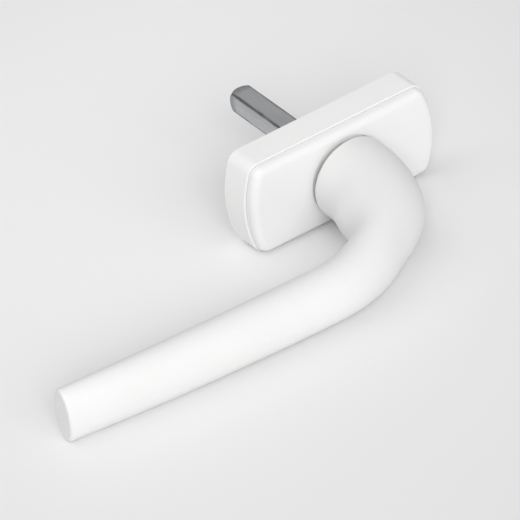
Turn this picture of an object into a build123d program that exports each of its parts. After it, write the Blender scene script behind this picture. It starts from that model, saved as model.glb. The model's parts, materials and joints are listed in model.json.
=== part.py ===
"""Window handle with an oblong rosette, a lift-and-turn cover plate and a square spindle.

Every piece is drawn with z as the height above the sash, x along the rosette and the lever
pointing to -x. On writing it is turned so that the spindle runs along +Y into the sash and
the rosette's width stands along +Z. The origin is on the spindle's axis, in the back face.
Lengths are in millimetres, angles in degrees.
"""

from build123d import *
from math import cos, radians, sin, sqrt
import os

# Rosette outline, seen from the front
rosette_length = 71.5
rosette_width = 32.6
end_bow = 3.44
corner_radius = 4.3

# Base housing
base_depth = 10.4
base_wall = 1.8
front_recess = 0.9
web_thickness = 1.8
rim_fillet = 0.25
back_chamfer = 0.3
rib_thickness = 1.2

# Fixing screws and the lugs that sit in the sash's bores
screw_spacing = 43.0
screw_hole_diameter = 5.3
screw_head_diameter = 9.6
lug_diameter = 10.0
lug_length = 2.0
lug_chamfer = 0.5

# Cover plate
cover_inset = 0.6
cover_wall = 1.4
cover_corner_wall = 0.7
cover_rise = 4.6
crown_across = 1.0
crown_along = 0.5
cover_fillet = 2.5
neck_recess_depth = 1.4
neck_overhang = 0.6
shadow_gap_height = 0.3
shadow_gap_depth = 0.45

# Neck of the lever and the stack of pieces on it, from the front to the back
neck_diameter = 27.7
neck_gap = 1.8
neck_edge_fillet = 0.3
collar_diameter = 20.4
journal_diameter = 17.0
journal_flat_width = 14.8
washer_thickness = 0.5
washer_diameter = 24.4
bush_wall = 1.5
bush_flange_thickness = 0.7
bush_flange_diameter = 25.2
boss_height = 0.7
boss_diameter = 26.0
cam_width = 21.6
cam_corner_diameter = 25.6
shim_thickness = 0.5
shim_diameter = 23.0
disc_spring_height = 0.7
disc_spring_thickness = 0.35
disc_spring_diameter = 22.6
ring_thickness = 1.0
ring_groove_depth = 0.6
ring_band = 1.9
ring_gap_angle = 34.0
ring_lug_angle = 20.0
ring_lug_diameter = 3.0
ring_lug_hole_diameter = 1.5
ring_plate_clearance = 0.4
shank_end_length = 1.0

# Guide ring between the collar and the cover plate
guide_sleeve_wall = 1.0
guide_flange_thickness = 1.0
cover_lift = 1.3

# Leaf springs of the detent and the pegs that hold them
spring_thickness = 0.5
spring_side_clearance = 0.3
spring_half_span = 13.2
peg_diameter = 2.2

# Back plate and its screws
plate_thickness = 1.5
plate_recess = 0.2
plate_edge_wall = 1.4
plate_screw_end_distance = 6.55
plate_screw_side_distance = 7.3
plate_screw_diameter = 2.2
plate_screw_head_diameter = 4.2
plate_screw_length = 6.0
plate_screw_slot_length = 2.9
plate_screw_slot_width = 0.6
plate_screw_slot_depth = 0.6
plate_boss_diameter = 4.8

# Lever: its centre line is a short straight, the bend, then a long shallow curve
neck_straight = 2.3
bend_radius = 39.5
bend_angle = 92.0
arm_length = 90.3
arm_curve_angle = 4.4
arm_width = 18.2
arm_root_depth = 16.8
tip_width = 18.6
tip_depth = 10.1
width_blend_end = 65.0
depth_blend_start = 19.0
depth_blend_end = 42.0
tip_taper_power = 2.5
tip_fillet = 0.9
bend_sections = 20
arm_sections = 10

# Spindle
spindle_width = 7.0
spindle_projection = 42.0
spindle_depth_in_neck = 26.5
spindle_corner_radius = 0.35
spindle_turned_diameter = 10.4
spindle_end_fillet = 3.5
spindle_pin_diameter = 3.0

# Clearances
running_clearance = 0.05
sliding_clearance = 0.08
axial_play = 0.1
loose_clearance = 0.15
plate_clearance = 0.1
plate_hole_clearance = 0.6
spindle_clearance = 0.05
pin_end_clearance = 0.4

# Heights above the sash that follow from the stack
web_front = base_depth - front_recess
web_back = web_front - web_thickness
boss_top = web_front + boss_height
bush_top = boss_top + bush_flange_thickness
shoulder = bush_top + washer_thickness
cover_face = base_depth + cover_rise
cover_side_face = cover_face - crown_across
cover_underside = cover_side_face - crown_along - cover_corner_wall
neck_base = cover_face + neck_gap
cam_top = web_back - axial_play
plate_top = plate_recess + plate_thickness
ring_bottom = plate_top + ring_plate_clearance
shank_end = ring_bottom - shank_end_length
disc_spring_bottom = ring_bottom + ring_thickness
shim_bottom = disc_spring_bottom + disc_spring_height
cam_bottom = shim_bottom + shim_thickness
neck_recess_floor = cover_face - neck_recess_depth
guide_bottom = cover_underside - guide_flange_thickness
pin_height = (shoulder + neck_base) / 2

# Radii that follow from a fit
collar_radius = collar_diameter / 2
journal_radius = journal_diameter / 2
bush_bore_radius = journal_radius + running_clearance
bush_outer_radius = bush_bore_radius + bush_wall
guide_bore_radius = collar_radius + sliding_clearance
guide_sleeve_radius = guide_bore_radius + guide_sleeve_wall
cover_hole_radius = guide_sleeve_radius + sliding_clearance
guide_flange_radius = rosette_width / 2 - cover_inset - cover_fillet - loose_clearance

# Places of the back plate's screws, from the middle
plate_screw_x = rosette_length / 2 - plate_screw_end_distance
plate_screw_y = rosette_width / 2 - plate_screw_side_distance

# Places round the cam
spring_face = cam_width / 2 + running_clearance
spring_loop_inner = peg_diameter / 2 + plate_clearance
spring_loop_outer = spring_loop_inner + spring_thickness
peg_y = spring_face + spring_loop_outer

SIDES = (-1, 1)


def tube(outer, inner, bottom, top):
    """A plain ring between two heights, from its radii."""
    ring = Circle(outer) - Circle(inner)
    return Pos(0, 0, bottom) * extrude(ring, amount=top - bottom)


def disc(radius, bottom, top):
    """A plain disc between two heights."""
    return Pos(0, 0, bottom) * extrude(Circle(radius), amount=top - bottom)


def bow_radius(half_chord, bow):
    """Radius of an arc that stands out from its chord by a bow."""
    return (half_chord**2 + bow**2) / (2 * bow)


def rosette_face(inset):
    """The rosette's outline, drawn in by an even inset: straight sides and bowed ends."""
    half_width = rosette_width / 2
    end_radius = bow_radius(half_width, end_bow) - inset
    half_width -= inset
    half_length = rosette_length / 2 - inset
    bow = end_radius - sqrt(end_radius**2 - half_width**2)
    side = half_length - bow
    outline = [
        Line((-side, half_width), (side, half_width)),
        ThreePointArc((side, half_width), (half_length, 0), (side, -half_width)),
        Line((side, -half_width), (-side, -half_width)),
        ThreePointArc((-side, -half_width), (-half_length, 0), (-side, half_width)),
    ]
    face = make_face(Wire(outline))
    return fillet(face.vertices(), corner_radius - inset)


def rosette_block(inset, bottom, top):
    """The outline, as a block between two heights."""
    return Pos(0, 0, bottom) * extrude(rosette_face(inset), amount=top - bottom)


def at_screws(shape):
    """Copies of a shape on both fixing screws."""
    return [Pos(side * screw_spacing / 2, 0, 0) * shape for side in SIDES]


def plate_screw_places():
    """Centres of the four small screws of the back plate."""
    return [(a * plate_screw_x, b * plate_screw_y) for a in SIDES for b in SIDES]


def countersink(hole_diameter, head_diameter, top):
    """A 90 degree cone that opens upwards to a height, to be cut or kept."""
    depth = (head_diameter - hole_diameter) / 2
    cone = Cone(hole_diameter / 2, head_diameter / 2, depth)
    return Pos(0, 0, top - depth / 2) * cone


def base_housing():
    """White body of the rosette, hollow from the back, with its columns, ribs and pegs."""
    shell = rosette_block(0, 0, base_depth)
    rim = shell.edges().group_by(Axis.Z)[-1]
    shell = fillet(rim, rim_fillet)
    foot = shell.edges().group_by(Axis.Z)[0]
    shell = chamfer(foot, back_chamfer)
    shell -= rosette_block(base_wall, web_front, base_depth)
    shell -= rosette_block(base_wall, 0, web_back)
    shell -= rosette_block(plate_edge_wall, 0, plate_top)

    # Stiffening ribs on both sides of each screw column, cut to the inside of the walls
    reach = rosette_length / 2 - screw_spacing / 2
    along = Box(reach, rib_thickness, web_back - plate_top)
    across = Box(rib_thickness, rosette_width, web_back - plate_top)
    middle = (plate_top + web_back) / 2
    room = rosette_block(base_wall / 2, plate_top, web_back)
    for side in SIDES:
        place = side * screw_spacing / 2
        ribs = Pos(place + side * reach / 2, 0, middle) * along
        ribs += Pos(place, 0, middle) * across
        shell += ribs & room

    # Screw columns end in the locating lugs behind the back face
    lug = Pos(0, 0, -lug_length) * extrude(Circle(lug_diameter / 2), amount=lug_length + web_back)
    lug = chamfer(lug.edges().group_by(Axis.Z)[0], lug_chamfer)
    for column in at_screws(lug):
        shell += column
    for x, y in plate_screw_places():
        shell += Pos(x, y, 0) * disc(plate_boss_diameter / 2, plate_top, web_back)
    shell += disc(boss_diameter / 2, web_front, boss_top)

    # Pegs for the loops of the leaf springs
    for x in SIDES:
        for y in SIDES:
            peg = disc(peg_diameter / 2, cam_bottom, web_back)
            shell += Pos(x * spring_half_span, y * peg_y, 0) * peg

    hole = disc(screw_hole_diameter / 2, -lug_length, web_front)
    hole += countersink(screw_hole_diameter, screw_head_diameter, web_front)
    for cut in at_screws(hole):
        shell -= cut
    pilot_top = plate_recess + plate_screw_length
    for x, y in plate_screw_places():
        shell -= Pos(x, y, 0) * disc(plate_screw_diameter / 2, plate_top, pilot_top)
    return shell - disc(bush_outer_radius, web_back, boss_top)


def crown():
    """All that lies under the cover's crowned face: an arc across it, turned about a far axis."""
    half_width = rosette_width / 2
    outline = [
        ThreePointArc((-half_width, cover_side_face), (0, cover_face), (half_width, cover_side_face)),
        Line((half_width, cover_side_face), (half_width, 0)),
        Line((half_width, 0), (-half_width, 0)),
        Line((-half_width, 0), (-half_width, cover_side_face)),
    ]
    across = Plane.YZ * make_face(Wire(outline))
    axis_height = cover_face - bow_radius(rosette_length / 2, crown_along)
    return revolve(across, Axis((0, 0, axis_height), (0, 1, 0)))


def cover_plate():
    """Thin crowned plate with a round recess under the neck; its skirt stands on the base's rim."""
    shell = rosette_block(cover_inset, base_depth, cover_face) & crown()
    shell = fillet(shell.faces().sort_by(Axis.Z)[-1].edges(), cover_fillet)
    hollow = rosette_block(cover_inset + cover_wall, base_depth, cover_underside)
    hollow = fillet(hollow.edges().group_by(Axis.Z)[-1], cover_fillet - cover_wall)
    gap_top = base_depth + shadow_gap_height
    gap = rosette_block(0, base_depth, gap_top)
    gap -= rosette_block(cover_inset + shadow_gap_depth, base_depth, gap_top)
    bore = disc(cover_hole_radius, base_depth, neck_recess_floor)
    recess = disc(neck_diameter / 2 - neck_overhang, neck_recess_floor, cover_face)
    return shell - (bore + recess) - hollow - gap


def cover_guide_ring():
    """Nylon ring with a flange under the cover plate; it slides on the neck's collar."""
    ring = disc(guide_sleeve_radius, guide_bottom, neck_recess_floor - loose_clearance)
    ring += disc(guide_flange_radius, guide_bottom, cover_underside)
    return ring - disc(guide_bore_radius, guide_bottom, cover_face)


def bearing_bush():
    """Flanged nylon bush in the boss of the base."""
    bush = disc(bush_outer_radius, web_back, boss_top)
    bush += disc(bush_flange_diameter / 2, boss_top, bush_top)
    return bush - disc(bush_bore_radius, web_back, bush_top)


def back_plate():
    """Steel plate in the rebate of the base, with holes for the lugs, shank and screws."""
    plate = rosette_block(plate_edge_wall + plate_clearance, plate_recess, plate_top)
    lug_hole = disc(lug_diameter / 2 + plate_clearance, plate_recess, plate_top)
    for cut in at_screws(lug_hole):
        plate -= cut
    screw_hole = disc(plate_screw_diameter / 2 + plate_clearance, plate_recess, plate_top)
    sink = Rot(180, 0, 0) * countersink(plate_screw_diameter, plate_screw_head_diameter, -plate_recess)
    for x, y in plate_screw_places():
        plate -= Pos(x, y, 0) * (screw_hole + sink)
    return plate - disc(journal_radius + plate_hole_clearance, plate_recess, plate_top)


def back_plate_screw():
    """Small countersunk screw, seen from behind, with a cross slot."""
    head = Rot(180, 0, 0) * countersink(plate_screw_diameter, plate_screw_head_diameter, -plate_recess)
    screw = head + disc(plate_screw_diameter / 2, plate_recess, plate_recess + plate_screw_length)
    slot = Box(plate_screw_slot_length, plate_screw_slot_width, plate_screw_slot_depth * 2)
    slot += Rot(0, 0, 90) * slot
    return screw - Pos(0, 0, plate_recess) * slot


def detent_spring(side):
    """Leaf spring along one flat of the cam, with a loop round a peg at each end."""
    strip = Rectangle(2 * spring_half_span, spring_thickness)
    profile = Pos(0, spring_face + spring_thickness / 2) * strip
    loop = Circle(spring_loop_outer) - Circle(spring_loop_inner)
    corner = Rectangle(spring_loop_outer, spring_loop_outer)
    for end in SIDES:
        mouth = Pos(-end * spring_loop_outer / 2, spring_loop_outer / 2) * corner
        profile += Pos(end * spring_half_span, peg_y) * (loop - mouth)
    height = cam_top - cam_bottom - 2 * spring_side_clearance
    spring = Pos(0, 0, cam_bottom + spring_side_clearance) * extrude(profile, amount=height)
    return Rot(0, 0, 0 if side > 0 else 180) * spring


def journal_section(clearance=0.0):
    """Round journal with two flats that drive the cam."""
    flats = Rectangle(journal_flat_width + 2 * clearance, 2 * journal_diameter)
    return Circle(journal_radius + clearance) & flats


def detent_cam():
    """Four-sided cam with rounded corners on the flats of the journal."""
    outline = Rectangle(cam_width, cam_width) & Circle(cam_corner_diameter / 2)
    face = outline - journal_section(spindle_clearance)
    return Pos(0, 0, cam_bottom) * extrude(face, amount=cam_top - cam_bottom)


def disc_spring():
    """Conical spring washer: its outer edge bears on the shim, its inner edge on the ring."""
    inner = journal_radius + plate_clearance
    outer = disc_spring_diameter / 2
    low = disc_spring_bottom
    corners = [
        (inner, low),
        (outer, shim_bottom - disc_spring_thickness),
        (outer, shim_bottom),
        (inner, low + disc_spring_thickness),
    ]
    profile = Plane.XZ * make_face(Polyline(*corners, close=True))
    return revolve(profile, Axis.Z)


def retaining_ring():
    """Circlip with two drilled lugs at its gap, in the groove of the journal."""
    inner = journal_radius - ring_groove_depth
    band = Circle(inner + ring_band) - Circle(inner)
    lug_radius = ring_lug_diameter / 2
    lug_place = inner + ring_band - lug_radius / 2
    half_gap = ring_gap_angle / 2
    wedge_reach = 2 * (inner + ring_band)
    wedge = Polyline(
        (0, 0),
        (wedge_reach * cos(radians(half_gap)), wedge_reach * sin(radians(half_gap))),
        (wedge_reach * cos(radians(half_gap)), -wedge_reach * sin(radians(half_gap))),
        close=True,
    )
    band -= make_face(wedge)
    for side in SIDES:
        turn = Rot(0, 0, side * ring_lug_angle)
        lug = Circle(lug_radius) - Circle(ring_lug_hole_diameter / 2)
        band = band - turn * Pos(lug_place, 0) * Circle(ring_lug_hole_diameter / 2)
        band += (turn * Pos(lug_place, 0) * lug) - Circle(inner)
    return Pos(0, 0, ring_bottom) * extrude(band, amount=ring_thickness)


def blend(start, end, low, high, place):
    """Goes smoothly from one value to the other between two places."""
    t = min(max((place - low) / (high - low), 0), 1)
    return start + (end - start) * t * t * (3 - 2 * t)


bend_end = neck_straight + bend_radius * radians(bend_angle)
lever_path_length = bend_end + arm_length


def lever_half_width(s):
    """Half the lever's width across the rosette, at a distance along its centre line."""
    root = blend(neck_diameter / 2, arm_width / 2, neck_straight, width_blend_end, s)
    return blend(root, tip_width / 2, width_blend_end, lever_path_length, s)


def lever_half_depth(s):
    """Half the lever's depth away from the sash, thinning towards the tip."""
    root = blend(neck_diameter / 2, arm_root_depth / 2, depth_blend_start, depth_blend_end, s)
    t = max((s - depth_blend_end) / (lever_path_length - depth_blend_end), 0)
    return root - (arm_root_depth - tip_depth) / 2 * t**tip_taper_power


def lever_path(s):
    """Point and heading of the centre line at a distance s from the neck's base."""
    start = neck_base + neck_straight
    turn = radians(bend_angle)
    if s <= bend_end:
        angle = (s - neck_straight) / bend_radius
        return (-bend_radius * (1 - cos(angle)), start + bend_radius * sin(angle)), angle
    x = -bend_radius * (1 - cos(turn))
    z = start + bend_radius * sin(turn)
    radius = arm_length / radians(arm_curve_angle)
    angle = turn + (s - bend_end) / radius
    x -= radius * (cos(turn) - cos(angle))
    z += radius * (sin(angle) - sin(turn))
    return (x, z), angle


def lever_section(s):
    """Oval section of the lever, square to its centre line: a stretched circle."""
    (x, z), angle = lever_path(s)
    place = Plane(
        origin=(x, 0, z),
        x_dir=(cos(angle), 0, sin(angle)),
        z_dir=(-sin(angle), 0, cos(angle)),
    )
    return place * scale(Circle(1), by=(lever_half_depth(s), lever_half_width(s), 1))


def lever():
    """One casting: neck flange, elbow and arm, with the turned collar and journal below."""
    bend_step = (bend_end - neck_straight) / bend_sections
    stations = [neck_straight + bend_step * i for i in range(bend_sections)]
    stations += [bend_end + arm_length * i / arm_sections for i in range(arm_sections + 1)]
    arm = loft([lever_section(s) for s in stations])
    arm = fillet(arm.edges().sort_by(Axis.X)[0], tip_fillet)
    flange = disc(neck_diameter / 2, neck_base, neck_base + neck_straight)
    body = fillet(flange.edges().sort_by(Axis.Z)[0], neck_edge_fillet) + arm
    body += disc(collar_radius, shoulder, neck_base + neck_straight)
    body += disc(journal_radius, cam_top, shoulder)
    body += Pos(0, 0, shank_end) * extrude(journal_section(), amount=cam_top - shank_end)
    groove_radius = journal_radius - ring_groove_depth
    body -= tube(journal_diameter, groove_radius, ring_bottom, disc_spring_bottom)
    socket = spindle_width + 2 * spindle_clearance
    depth = spindle_depth_in_neck + spindle_clearance - shank_end
    body -= Pos(0, 0, shank_end + depth / 2) * Box(socket, socket, depth)
    return body - pin_hole()


def pin_hole():
    """Room of the cross pin, right through the neck's collar and the spindle."""
    return Pos(0, 0, pin_height) * Rot(90, 0, 0) * Cylinder(spindle_pin_diameter / 2, neck_diameter)


def spindle():
    """Drawn square bar with rounded corners and a turned, rounded end."""
    length = spindle_depth_in_neck + spindle_projection
    bar = Box(spindle_width, spindle_width, length)
    bar = fillet(bar.edges().filter_by(Axis.Z), spindle_corner_radius)
    bar = Pos(0, 0, spindle_depth_in_neck - length / 2) * bar
    turned = disc(spindle_turned_diameter / 2, -spindle_projection, spindle_depth_in_neck)
    turned = fillet(turned.edges().sort_by(Axis.Z)[0], spindle_end_fillet)
    return (bar & turned) - pin_hole()


def spindle_pin():
    """Cross pin through the collar and the spindle, a little below the collar's surface."""
    length = collar_diameter - 2 * pin_end_clearance
    return Pos(0, 0, pin_height) * Rot(90, 0, 0) * Cylinder(spindle_pin_diameter / 2, length)


def pieces():
    """Every piece by its name."""
    made = {
        "base_housing": base_housing(),
        "bearing_bush": bearing_bush(),
        "detent_spring_upper": detent_spring(1),
        "detent_spring_lower": detent_spring(-1),
        "back_plate": back_plate(),
        "cover_guide_ring": cover_guide_ring(),
        "cover_plate": cover_plate(),
        "lever": lever(),
        "spindle": spindle(),
        "spindle_pin": spindle_pin(),
        "thrust_washer": tube(washer_diameter / 2, journal_radius + plate_clearance, bush_top, shoulder),
        "detent_cam": detent_cam(),
        "shim_washer": tube(shim_diameter / 2, journal_radius + plate_clearance, shim_bottom, cam_bottom),
        "disc_spring": disc_spring(),
        "retaining_ring": retaining_ring(),
    }
    for number, (x, y) in enumerate(plate_screw_places(), 1):
        made[f"back_plate_screw_{number}"] = Pos(x, y, 0) * back_plate_screw()
    return made


os.makedirs("parts", exist_ok=True)
upright = Rot(90, 0, 0)
for name, shape in pieces().items():
    export_step(upright * shape, f"parts/{name}.step")
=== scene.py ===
"""Looks of the white window handle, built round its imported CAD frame."""

import json
from collections import namedtuple
from math import radians

import bpy
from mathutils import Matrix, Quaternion, Vector

MM = 0.001

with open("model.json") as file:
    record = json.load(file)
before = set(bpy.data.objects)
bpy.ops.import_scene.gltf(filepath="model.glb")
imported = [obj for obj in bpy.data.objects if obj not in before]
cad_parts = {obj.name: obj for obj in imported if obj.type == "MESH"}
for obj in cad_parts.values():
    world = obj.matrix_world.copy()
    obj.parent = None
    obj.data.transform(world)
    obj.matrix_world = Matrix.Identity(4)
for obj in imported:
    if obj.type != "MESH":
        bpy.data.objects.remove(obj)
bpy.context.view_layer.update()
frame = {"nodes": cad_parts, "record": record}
nodes = frame["nodes"]

# Linear colours of each finish: its body, its darker clouds and its edges; the edges are rubbed
# wear, and partly or wholly painted light on the coats, the moulding and the bar
Tones = namedtuple("Tones", "body shade edge")
# On both coats the darker edge colour is a thin coat and partly painted shade along the gaps
COAT = Tones((0.802, 0.802, 0.800), (0.777, 0.777, 0.773), (0.732, 0.731, 0.726))
# Lighter copy of the lever's coat for the cover plate: painted light on the cover face
COVER_COAT_PAINTED_LIGHT = Tones((0.845, 0.846, 0.844), (0.823, 0.824, 0.822), (0.772, 0.772, 0.768))
# The moulding's lighter edge colour is partly a painted highlight along the base's rim
MOULDING = Tones((0.872, 0.873, 0.868), (0.846, 0.847, 0.842), (0.895, 0.895, 0.890))
# The bar's near-black edge colour is a painted dark reflection along its corners and painted
# shade at its cut end
BAR = Tones((0.51, 0.52, 0.535), (0.43, 0.435, 0.445), (0.09, 0.095, 0.10))
ZINC = Tones((0.53, 0.54, 0.555), (0.37, 0.375, 0.38), (0.70, 0.70, 0.70))
SCREW = Tones((0.70, 0.705, 0.71), (0.52, 0.525, 0.53), (0.82, 0.82, 0.82))
SPRING = Tones((0.50, 0.485, 0.46), (0.34, 0.325, 0.30), (0.62, 0.60, 0.57))
NATURAL_NYLON = Tones((0.72, 0.715, 0.68), (0.64, 0.632, 0.59), (0.79, 0.785, 0.75))
GREY_NYLON = Tones((0.22, 0.23, 0.24), (0.15, 0.155, 0.165), (0.33, 0.34, 0.35))
PAPER = (0.935, 0.935, 0.935)
# Painted shade of the paper round the paler oval
PAPER_PAINTED_SHADE = (0.805, 0.805, 0.805)

# Painted dark reflection along the square bar's long corners and, weaker, painted shade at its
# cut end
BAR_HALF_WIDTH = 3.5 * MM
BAR_PAINTED_REFLECTION_BAND = (BAR_HALF_WIDTH - 0.30 * MM, BAR_HALF_WIDTH + 0.70 * MM)
BAR_END = 42.0 * MM
BAR_CUT = (BAR_END - 3.6 * MM, BAR_END - 0.4 * MM)
BAR_CUT_PAINTED_SHADE = 0.42
BAR_RAGGEDNESS = 1.6 * MM

# Blotches in metal are drawn out less than the lines: this share of them stays round
ROUND_SHARE = 0.35

# Fine wipe marks are this many times smaller than the broad ones, and weaker
FINE_MARKS = 14.0
BROAD_MARK_SHARE = 0.75
FINE_MARK_SHARE = 0.25
EDGE_POLISH = 0.12

# The handle lies on its elbow, its tip and one corner of the rosette
FLOOR_NORMAL = Vector((0.0129, 0.1337, 0.9909)).normalized()
FLOOR_SIZE = 6.0

# Painted pool of light: the paper is painted palest in an oval behind the handle, and painted a
# little darker all round
PAINTED_POOL_CENTRE = (-0.023, 0.077, 0.0)
PAINTED_POOL_STRETCH = (1.0, 1.67, 1.0)
PAINTED_POOL_REACH = (0.04, 0.22)
PAINTED_POOL_WANDER = 0.02

# Light of the room without the lamps, and the pale room that eyes and gloss see
ROOM_LIGHT = 0.42
ROOM_SEEN = 0.60

# Every lamp stands this far from the handle
LAMP_DISTANCE = 3.6

# Camera of the photograph
CAMERA_TARGET = Vector((-0.03818, -0.02000, -0.01048))
CAMERA_AZIMUTH = -32.939
CAMERA_ELEVATION = 37.296
CAMERA_ROLL = -5.814
CAMERA_DISTANCE = 1.1100
CAMERA_LENS = 253.67
CAMERA_NEAR = 0.01
CAMERA_FAR = 20.0
SENSOR_WIDTH = 36.0

# Kinds of sockets on the node groups
PLACE = "NodeSocketVector"
COLOUR = "NodeSocketColor"
NUMBER = "NodeSocketFloat"


def direction(azimuth, elevation):
    """Unit vector from the object; azimuth 0 is the front and 90 the right."""
    turn = Quaternion((0, 0, 1), radians(azimuth)) @ Quaternion((1, 0, 0), radians(-elevation))
    return turn @ Vector((0, -1, 0))


class Sheet:
    """Short ways to add and join nodes in one node tree."""

    def __init__(self, tree):
        self.tree = tree

    def add(self, kind, **settings):
        """A new node with its settings."""
        node = self.tree.nodes.new(kind)
        for name, value in settings.items():
            setattr(node, name, value)
        return node

    def feed(self, socket, value):
        """Gives an input its value: an output to join, or a number or colour to set."""
        if isinstance(value, bpy.types.NodeSocket):
            self.tree.links.new(value, socket)
        else:
            socket.default_value = value

    def maths(self, operation, first, second=None, clamp=False):
        """A Math node on one or two values."""
        node = self.add("ShaderNodeMath", operation=operation, use_clamp=clamp)
        self.feed(node.inputs[0], first)
        if second is not None:
            self.feed(node.inputs[1], second)
        return node.outputs[0]

    def noise(self, place, scale, detail, roughness=0.5):
        """Soft cloud noise at a place."""
        node = self.add("ShaderNodeTexNoise")
        self.feed(node.inputs["Vector"], place)
        self.feed(node.inputs["Scale"], scale)
        self.feed(node.inputs["Detail"], detail)
        self.feed(node.inputs["Roughness"], roughness)
        return node.outputs["Fac"]

    def span(self, value, low, high, new_low=0.0, new_high=1.0):
        """Smoothly maps a value from one pair of limits to another."""
        node = self.add("ShaderNodeMapRange", interpolation_type="SMOOTHSTEP")
        self.feed(node.inputs["Value"], value)
        self.feed(node.inputs["From Min"], low)
        self.feed(node.inputs["From Max"], high)
        self.feed(node.inputs["To Min"], new_low)
        self.feed(node.inputs["To Max"], new_high)
        return node.outputs["Result"]

    def mix(self, factor, first, second):
        """Blends two colours."""
        node = self.add("ShaderNodeMix", data_type="RGBA")
        self.feed(node.inputs["Factor"], factor)
        self.feed(node.inputs["A"], first)
        self.feed(node.inputs["B"], second)
        return node.outputs["Result"]


def opaque(colour):
    """A colour with the fourth value that Blender's sockets want."""
    return (*colour, 1)


def new_group(name, inputs, outputs):
    """An empty node group with named sockets; gives its sheet, its inputs and its outputs."""
    tree = bpy.data.node_groups.new(name, "ShaderNodeTree")
    for label, kind, value in inputs:
        socket = tree.interface.new_socket(label, in_out="INPUT", socket_type=kind)
        if value is not None:
            socket.default_value = value
    for label, kind in outputs:
        tree.interface.new_socket(label, in_out="OUTPUT", socket_type=kind)
    sheet = Sheet(tree)
    given = sheet.add("NodeGroupInput").outputs
    wanted = sheet.add("NodeGroupOutput").inputs
    return sheet, given, wanted


def make_tone_group():
    """Colour that drifts in broad clouds and small flecks, and changes along the edges: wear,
    and on the coats and the moulding partly painted shade and painted highlight.
    """
    sheet, given, wanted = new_group(
        "surface_tone",
        [
            ("Place", PLACE, None),
            ("Colour", COLOUR, (0.8, 0.8, 0.8, 1)),
            ("Shade", COLOUR, (0.7, 0.7, 0.7, 1)),
            ("Edge Colour", COLOUR, (0.9, 0.9, 0.9, 1)),
            ("Cloud Scale", NUMBER, 60.0),
            ("Fleck Scale", NUMBER, 900.0),
            ("Edge", NUMBER, 0.0),
        ],
        [("Colour", COLOUR)],
    )
    cloud = sheet.noise(given["Place"], given["Cloud Scale"], detail=3)
    fleck = sheet.noise(given["Place"], given["Fleck Scale"], detail=2, roughness=0.6)
    clouded = sheet.span(cloud, low=0.3, high=0.7, new_high=0.75)
    flecked = sheet.span(fleck, low=0.45, high=0.75, new_high=0.35)
    drift = sheet.maths("MINIMUM", sheet.maths("ADD", clouded, flecked), 1.0)
    body = sheet.mix(drift, given["Colour"], given["Shade"])
    sheet.feed(wanted["Colour"], sheet.mix(given["Edge"], body, given["Edge Colour"]))
    return sheet.tree


def make_edge_group():
    """Mask of the outer edges, broken up so that they look rubbed and not drawn: wear, and on
    the coats and the moulding partly painted shade and painted highlight.
    """
    sheet, given, wanted = new_group(
        "edge_wear_and_painted_edge_light",
        [
            ("Place", PLACE, None),
            ("Radius", NUMBER, 0.4 * MM),
            ("Amount", NUMBER, 0.5),
            ("Break Scale", NUMBER, 500.0),
        ],
        [("Edge", NUMBER)],
    )
    rounded = sheet.add("ShaderNodeBevel", samples=4)
    sheet.feed(rounded.inputs["Radius"], given["Radius"])
    flat = sheet.add("ShaderNodeNewGeometry")
    likeness = sheet.add("ShaderNodeVectorMath", operation="DOT_PRODUCT")
    sheet.feed(likeness.inputs[0], rounded.outputs["Normal"])
    sheet.feed(likeness.inputs[1], flat.outputs["Normal"])
    turned = sheet.maths("SUBTRACT", 1.0, likeness.outputs["Value"])
    bend = sheet.span(turned, low=0.04, high=0.30)
    cloud = sheet.noise(given["Place"], given["Break Scale"], detail=4, roughness=0.65)
    broken = sheet.span(cloud, low=0.35, high=0.62, new_low=0.25)
    rubbed = sheet.maths("MULTIPLY", bend, broken)
    sheet.feed(wanted["Edge"], sheet.maths("MULTIPLY", rubbed, given["Amount"], clamp=True))
    return sheet.tree


def make_handling_group():
    """Roughness that wanders with faint wipe marks, and drops a little on rubbed edges."""
    sheet, given, wanted = new_group(
        "handling_marks",
        [
            ("Place", PLACE, None),
            ("Low", NUMBER, 0.3),
            ("High", NUMBER, 0.4),
            ("Mark Scale", NUMBER, 45.0),
            ("Edge", NUMBER, 0.0),
        ],
        [("Roughness", NUMBER)],
    )
    broad = sheet.noise(given["Place"], given["Mark Scale"], detail=4, roughness=0.6)
    fine_scale = sheet.maths("MULTIPLY", given["Mark Scale"], FINE_MARKS)
    fine = sheet.noise(given["Place"], fine_scale, detail=2)
    marks = sheet.maths(
        "ADD",
        sheet.maths("MULTIPLY", broad, BROAD_MARK_SHARE),
        sheet.maths("MULTIPLY", fine, FINE_MARK_SHARE),
    )
    wander = sheet.span(marks, low=0.36, high=0.64, new_low=given["Low"], new_high=given["High"])
    polish = sheet.maths("MULTIPLY", given["Edge"], EDGE_POLISH)
    sheet.feed(wanted["Roughness"], sheet.maths("SUBTRACT", wander, polish, clamp=True))
    return sheet.tree


def make_grain_group():
    """Height of a fine skin: small soft bumps with a finer grain on top."""
    sheet, given, wanted = new_group(
        "surface_grain",
        [
            ("Place", PLACE, None),
            ("Bump Scale", NUMBER, 900.0),
            ("Grain Scale", NUMBER, 4000.0),
            ("Grain", NUMBER, 0.2),
        ],
        [("Height", NUMBER)],
    )
    bumps = sheet.noise(given["Place"], given["Bump Scale"], detail=1.5, roughness=0.4)
    grain = sheet.noise(given["Place"], given["Grain Scale"], detail=3, roughness=0.6)
    fine = sheet.maths("MULTIPLY", grain, given["Grain"])
    sheet.feed(wanted["Height"], sheet.maths("ADD", bumps, fine))
    return sheet.tree


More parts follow.
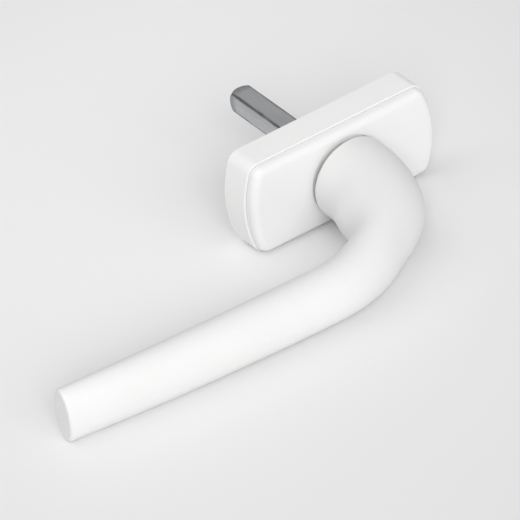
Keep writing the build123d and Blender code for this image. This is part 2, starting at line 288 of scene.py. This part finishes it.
def make_drawn_group():
    """Lines that drawing or rolling leaves in metal: a mask of bright and dull streaks."""
    sheet, given, wanted = new_group(
        "drawn_lines",
        [
            ("Place", PLACE, None),
            ("Line Scale", NUMBER, 2500.0),
            ("Blotch Scale", NUMBER, 160.0),
            ("Blotch Place", PLACE, None),
        ],
        [("Dullness", NUMBER), ("Height", NUMBER)],
    )
    lines = sheet.noise(given["Place"], given["Line Scale"], detail=5, roughness=0.62)
    blotch = sheet.noise(given["Blotch Place"], given["Blotch Scale"], detail=5, roughness=0.6)
    streaks = sheet.span(lines, low=0.34, high=0.68, new_high=0.6)
    patches = sheet.span(blotch, low=0.40, high=0.66, new_high=0.65)
    sheet.feed(wanted["Dullness"], sheet.maths("ADD", streaks, patches, clamp=True))
    sheet.feed(wanted["Height"], lines)
    return sheet.tree


GROUPS = {
    "tone": make_tone_group(),
    "edge": make_edge_group(),
    "handling": make_handling_group(),
    "grain": make_grain_group(),
    "drawn": make_drawn_group(),
}


class Finish:
    """One material: its sheet, its shader and the object coordinates that its groups read."""

    def __init__(self, name, metallic=0.0):
        self.material = bpy.data.materials.new(name)
        self.material.use_nodes = True
        tree = self.material.node_tree
        self.sheet = Sheet(tree)
        self.shader = tree.nodes["Principled BSDF"]
        self.shader.inputs["Metallic"].default_value = metallic
        self.place = self.sheet.add("ShaderNodeTexCoord").outputs["Object"]

    def set(self, **values):
        """Numbers that are the same all over, on the shader's own sockets."""
        for name, value in values.items():
            self.shader.inputs[name.replace("_", " ")].default_value = value

    def group(self, key, **values):
        """One of the shared groups, with this material's values."""
        node = self.sheet.add("ShaderNodeGroup", node_tree=GROUPS[key])
        for name, value in values.items():
            self.sheet.feed(node.inputs[name.replace("_", " ")], value)
        return node.outputs

    def stretched(self, scale):
        """The object coordinates, squeezed or stretched along the axes."""
        node = self.sheet.add("ShaderNodeMapping")
        self.sheet.feed(node.inputs["Vector"], self.place)
        self.sheet.feed(node.inputs["Scale"], scale)
        return node.outputs["Vector"]

    def colour_from(self, output):
        """Joins the surface's colour."""
        self.sheet.feed(self.shader.inputs["Base Color"], output)

    def roughness_from(self, output):
        """Joins the surface's roughness."""
        self.sheet.feed(self.shader.inputs["Roughness"], output)

    def bump_from(self, output, depth):
        """Bump whose full height is a depth in metres."""
        node = self.sheet.add("ShaderNodeBump")
        self.sheet.feed(node.inputs["Distance"], depth)
        self.sheet.feed(node.inputs["Height"], output)
        self.sheet.feed(self.shader.inputs["Normal"], node.outputs["Normal"])


def skin(name, tones, flow, edge, tone, handling, grain, depth):
    """A sprayed or moulded skin: clouded colour, wiped gloss, fine grain and rubbed edges; the
    edge colour is partly painted shade on the coats and partly a painted highlight on the
    moulding.

    The flow stretches the clouds, the depth is the height of the grain, and the other
    values go to the groups of the same names.
    """
    finish = Finish(name)
    # Edge mask: rubbed wear, and on the coats and the moulding partly painted shade and painted
    # highlight
    rubbed = finish.group("edge", Place=finish.place, **edge)["Edge"]
    colour = finish.group(
        "tone",
        Place=finish.stretched(flow) if flow else finish.place,
        Colour=opaque(tones.body),
        Shade=opaque(tones.shade),
        Edge_Colour=opaque(tones.edge),
        Edge=rubbed,
        **tone,
    )
    finish.colour_from(colour["Colour"])
    handled = finish.group("handling", Place=finish.place, Edge=rubbed, **handling)
    finish.roughness_from(handled["Roughness"])
    bumps = finish.group("grain", Place=finish.place, **grain)
    finish.bump_from(bumps["Height"], depth)
    return finish


def powder_coat(name, tones):
    """Smooth white powder coat: the soft orange peel of the sprayed coat, thin and darker on its
    edges, the darkening partly painted shade along the gaps.
    """
    coat = skin(
        name,
        tones,
        flow=None,
        edge={"Radius": 0.45 * MM, "Amount": 0.45, "Break_Scale": 420.0},
        tone={"Cloud_Scale": 38.0, "Fleck_Scale": 1300.0},
        handling={"Low": 0.56, "High": 0.68, "Mark_Scale": 36.0},
        grain={"Bump_Scale": 620.0, "Grain_Scale": 2600.0, "Grain": 0.05},
        depth=0.022 * MM,
    )
    coat.set(IOR=1.5)
    return coat.material


def moulded_white(name, tones):
    """White moulding of the base: a fine satin skin with faint flow clouds, and lighter edges
    that are partly a painted highlight on its rim.
    """
    moulding = skin(
        name,
        tones,
        flow=(0.4, 1.0, 1.0),
        edge={"Radius": 0.30 * MM, "Amount": 0.40, "Break_Scale": 700.0},
        tone={"Cloud_Scale": 70.0, "Fleck_Scale": 2200.0},
        handling={"Low": 0.54, "High": 0.66, "Mark_Scale": 60.0},
        grain={"Bump_Scale": 2600.0, "Grain_Scale": 7000.0, "Grain": 0.5},
        depth=0.010 * MM,
    )
    moulding.set(IOR=1.52)
    return moulding.material


def nylon(name, tones, translucent):
    """Nylon moulding: faint flow clouds, a soft skin and, if it isn't dyed, light let in."""
    body = skin(
        name,
        tones,
        flow=(1.0, 0.3, 1.0),
        edge={"Radius": 0.30 * MM, "Amount": 0.5, "Break_Scale": 800.0},
        tone={"Cloud_Scale": 180.0, "Fleck_Scale": 2600.0},
        handling={"Low": 0.34, "High": 0.46, "Mark_Scale": 120.0},
        grain={"Bump_Scale": 1800.0, "Grain_Scale": 6000.0, "Grain": 0.35},
        depth=0.008 * MM,
    )
    if translucent:
        body.set(Subsurface_Weight=0.08, Subsurface_Scale=0.8 * MM)
    return body.material


def bar_painted_reflection_mask(finish):
    """Mask of painted dark reflection along the square bar's long corners and, weaker, of
    painted shade at its cut end, a little ragged.
    """
    sheet = finish.sheet
    split = sheet.add("ShaderNodeSeparateXYZ")
    sheet.feed(split.inputs["Vector"], finish.place)
    sideways = sheet.maths("ABSOLUTE", split.outputs["X"])
    upwards = sheet.maths("ABSOLUTE", split.outputs["Z"])
    lengthened = finish.stretched((1.0, 0.35, 1.0))
    ragged = sheet.noise(lengthened, scale=420.0, detail=4, roughness=0.6)
    wander = sheet.maths("MULTIPLY", ragged, BAR_RAGGEDNESS)
    near = sheet.maths("ADD", sheet.maths("MINIMUM", sideways, upwards), wander)
    corners = sheet.span(near, *BAR_PAINTED_REFLECTION_BAND)
    along = sheet.maths("ADD", split.outputs["Y"], wander)
    cut_end = sheet.span(along, *BAR_CUT, new_high=BAR_CUT_PAINTED_SHADE)
    return sheet.maths("MAXIMUM", corners, cut_end)


def metal(name, tones, lines, line_scale, blotch_scale, roughness, depth, wear=None):
    """Bare or plated metal: streaks along the way it was drawn, and cloudy patches.

    The wear is how far the edges are rubbed; without one it is the bar, with a painted dark
    reflection along its corners and painted shade at its cut end.
    """
    finish = Finish(name, metallic=1.0)
    if wear is None:
        # On the bar the edge mask is painted dark reflection and painted shade, not wear
        edge = bar_painted_reflection_mask(finish)
    else:
        rubbed = {"Radius": 0.25 * MM, "Amount": wear, "Break_Scale": 900.0}
        edge = finish.group("edge", Place=finish.place, **rubbed)["Edge"]
    drawn = finish.group(
        "drawn",
        Place=finish.stretched(lines),
        Line_Scale=line_scale,
        Blotch_Scale=blotch_scale,
        Blotch_Place=finish.stretched(
            tuple(ROUND_SHARE + (1 - ROUND_SHARE) * part for part in lines)
        ),
    )
    sheet = finish.sheet
    body = sheet.mix(drawn["Dullness"], opaque(tones.body), opaque(tones.shade))
    finish.colour_from(sheet.mix(edge, body, opaque(tones.edge)))
    bright, dull = roughness
    finish.roughness_from(
        sheet.span(drawn["Dullness"], low=0.1, high=0.9, new_low=bright, new_high=dull)
    )
    finish.bump_from(drawn["Height"], depth)
    return finish.material


def make_finishes():
    """Every finish of the handle, by the CAD material slot or the piece that wears it."""
    return {
        "white_coat": powder_coat("white_powder_coat", COAT),
        # The cover wears a lighter copy of the lever's coat: painted light on its face
        "cover_plate": powder_coat("white_coat_painted_lighter_cover", COVER_COAT_PAINTED_LIGHT),
        "white_moulding": moulded_white("white_moulding_satin", MOULDING),
        "nylon": nylon("natural_nylon", NATURAL_NYLON, translucent=True),
        "cam_nylon": nylon("grey_nylon", GREY_NYLON, translucent=False),
        "zinc_steel": metal(
            "zinc_plated_sheet",
            ZINC,
            lines=(0.03, 1.0, 1.0),
            line_scale=2600.0,
            blotch_scale=130.0,
            roughness=(0.28, 0.44),
            depth=0.006 * MM,
            wear=0.7,
        ),
        # No wear on the bar: its corners carry a painted dark reflection and its cut end painted
        # shade
        "spindle": metal(
            "zinc_plated_bar",
            BAR,
            lines=(1.0, 0.02, 1.0),
            line_scale=3200.0,
            blotch_scale=240.0,
            roughness=(0.20, 0.32),
            depth=0.003 * MM,
        ),
        "back_plate_screw": metal(
            "zinc_plated_screw",
            SCREW,
            lines=(1.0, 0.6, 1.0),
            line_scale=1500.0,
            blotch_scale=500.0,
            roughness=(0.22, 0.36),
            depth=0.003 * MM,
            wear=0.8,
        ),
        "spring_steel": metal(
            "spring_steel_strip",
            SPRING,
            lines=(0.04, 1.0, 1.0),
            line_scale=3000.0,
            blotch_scale=260.0,
            roughness=(0.24, 0.38),
            depth=0.004 * MM,
            wear=0.6,
        ),
    }


def dress_nodes():
    """Gives every CAD node its piece's own finish, or else the finish of its material slot."""
    finishes = make_finishes()
    for part in frame["record"]["subparts"]:
        # The numbered screws share one finish
        piece = part["node"].rstrip("_0123456789")
        finish = finishes.get(piece, finishes[part["material_slot"]])
        mesh = nodes[part["node"]].data
        mesh.materials.clear()
        mesh.materials.append(finish)


def floor_paper():
    """Matt pale paper with a painted pool of light: a soft, slightly paler oval behind the
    handle.
    """
    paper = Finish("floor_paper")
    sheet = paper.sheet
    # Painted pool of light: palest in an oval behind the handle, painted darker further away
    oval = sheet.add("ShaderNodeMapping", vector_type="TEXTURE")
    sheet.feed(oval.inputs["Vector"], paper.place)
    sheet.feed(oval.inputs["Location"], PAINTED_POOL_CENTRE)
    sheet.feed(oval.inputs["Rotation"], (0, 0, radians(CAMERA_AZIMUTH)))
    sheet.feed(oval.inputs["Scale"], PAINTED_POOL_STRETCH)
    length = sheet.add("ShaderNodeVectorMath", operation="LENGTH")
    sheet.feed(length.inputs[0], oval.outputs["Vector"])
    cloud = sheet.noise(paper.place, scale=9.0, detail=3)
    wander = sheet.maths("MULTIPLY", cloud, PAINTED_POOL_WANDER)
    away = sheet.span(sheet.maths("ADD", length.outputs["Value"], wander), *PAINTED_POOL_REACH)
    paper.colour_from(sheet.mix(away, opaque(PAPER), opaque(PAPER_PAINTED_SHADE)))
    grain = paper.group(
        "grain", Place=paper.place, Bump_Scale=900.0, Grain_Scale=4000.0, Grain=0.5
    )
    paper.bump_from(grain["Height"], depth=0.01 * MM)
    paper.set(Roughness=0.92)
    return paper.material


def lay_floor():
    """Pale floor under the lowest points of the lying handle."""
    lowest = min(FLOOR_NORMAL.dot(v.co) for node in nodes.values() for v in node.data.vertices)
    bpy.ops.object.select_all(action="DESELECT")
    bpy.ops.mesh.primitive_plane_add(size=FLOOR_SIZE)
    floor = bpy.context.object
    floor.name = "floor"
    floor.rotation_mode = "QUATERNION"
    floor.rotation_quaternion = Vector((0, 0, 1)).rotation_difference(FLOOR_NORMAL)
    floor.location = FLOOR_NORMAL * lowest
    floor.data.materials.append(floor_paper())


def area_lamp(name, azimuth, elevation, side, power):
    """Large square soft light that looks at the handle; its side in metres, power in watts."""
    lamp = bpy.data.lights.new(name, "AREA")
    lamp.shape = "SQUARE"
    lamp.size = side
    lamp.energy = power
    holder = bpy.data.objects.new(name, lamp)
    bpy.context.scene.collection.objects.link(holder)
    away = direction(azimuth, elevation)
    holder.location = CAMERA_TARGET + away * LAMP_DISTANCE
    holder.rotation_mode = "QUATERNION"
    holder.rotation_quaternion = away.to_track_quat("Z", "Y")


def light_studio():
    """Pale even room, a big soft key by the camera, a front fill and a fill from behind."""
    world = bpy.data.worlds.new("studio")
    bpy.context.scene.world = world
    world.use_nodes = True
    sheet = Sheet(world.node_tree)
    background = world.node_tree.nodes["Background"]
    sheet.feed(background.inputs["Color"], opaque((1, 1, 1)))
    rays = sheet.add("ShaderNodeLightPath").outputs
    seen = sheet.maths("MAXIMUM", rays["Is Camera Ray"], rays["Is Glossy Ray"])
    seen = sheet.maths("MAXIMUM", seen, rays["Is Transmission Ray"])
    strength = sheet.add("ShaderNodeMapRange")
    sheet.feed(strength.inputs["Value"], seen)
    sheet.feed(strength.inputs["To Min"], ROOM_LIGHT)
    sheet.feed(strength.inputs["To Max"], ROOM_SEEN)
    sheet.feed(background.inputs["Strength"], strength.outputs["Result"])
    area_lamp("key", azimuth=-30, elevation=35, side=1.7, power=66.5)
    area_lamp("front_fill", azimuth=0, elevation=33, side=1.7, power=20.0)
    area_lamp("back_fill", azimuth=-150, elevation=60, side=3.6, power=36.0)


def place_camera():
    """Long lens from the front left and above, rolled a little, as in the photograph."""
    data = bpy.data.cameras.new("camera")
    data.lens = CAMERA_LENS
    data.sensor_width = SENSOR_WIDTH
    data.clip_start = CAMERA_NEAR
    data.clip_end = CAMERA_FAR
    camera = bpy.data.objects.new("camera", data)
    bpy.context.scene.collection.objects.link(camera)
    back = direction(CAMERA_AZIMUTH, CAMERA_ELEVATION)
    camera.location = CAMERA_TARGET + back * CAMERA_DISTANCE
    camera.rotation_mode = "QUATERNION"
    level = back.to_track_quat("Z", "Y")
    camera.rotation_quaternion = level @ Quaternion((0, 0, 1), radians(CAMERA_ROLL))
    bpy.context.scene.camera = camera


dress_nodes()
lay_floor()
light_studio()
place_camera()
bpy.context.scene.view_settings.view_transform = "Standard"
